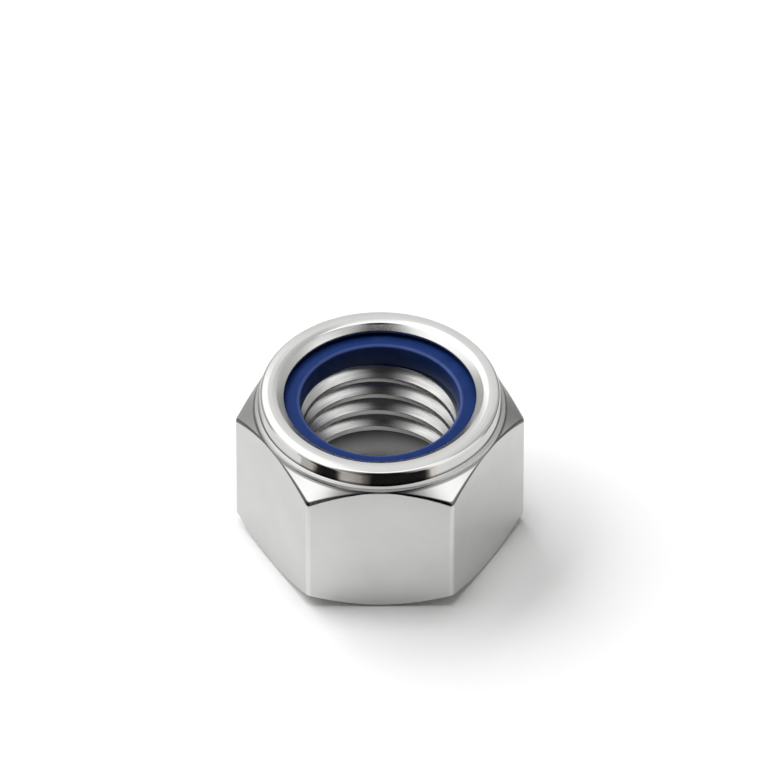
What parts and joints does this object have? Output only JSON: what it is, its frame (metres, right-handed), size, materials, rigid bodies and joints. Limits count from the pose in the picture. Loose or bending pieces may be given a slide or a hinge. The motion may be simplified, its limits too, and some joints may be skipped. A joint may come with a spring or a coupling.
{
  "type": "nylon insert lock nut",
  "caption": "Hexagon lock nut with chamfered corners, a collar, a crown with a rolled-in lip and a captive nylon ring that grips the bolt.",
  "frame": {"origin": "centre of the bearing face, on the thread's axis", "axes": "+Z along the thread's axis from the bearing face to the crown, Y square to two of the flats, X through two of the corners"},
  "size_m": [0.0196, 0.017, 0.012],
  "materials": {
    "plated_steel": "bright zinc-plated steel, polished collar and crown, faintly brushed flats",
    "blue_nylon": "satin moulded nylon"
  },
  "bodies": {
    "root": {"nut_body": "plated_steel", "nylon_insert": "blue_nylon"}
  },
  "joints": []
}
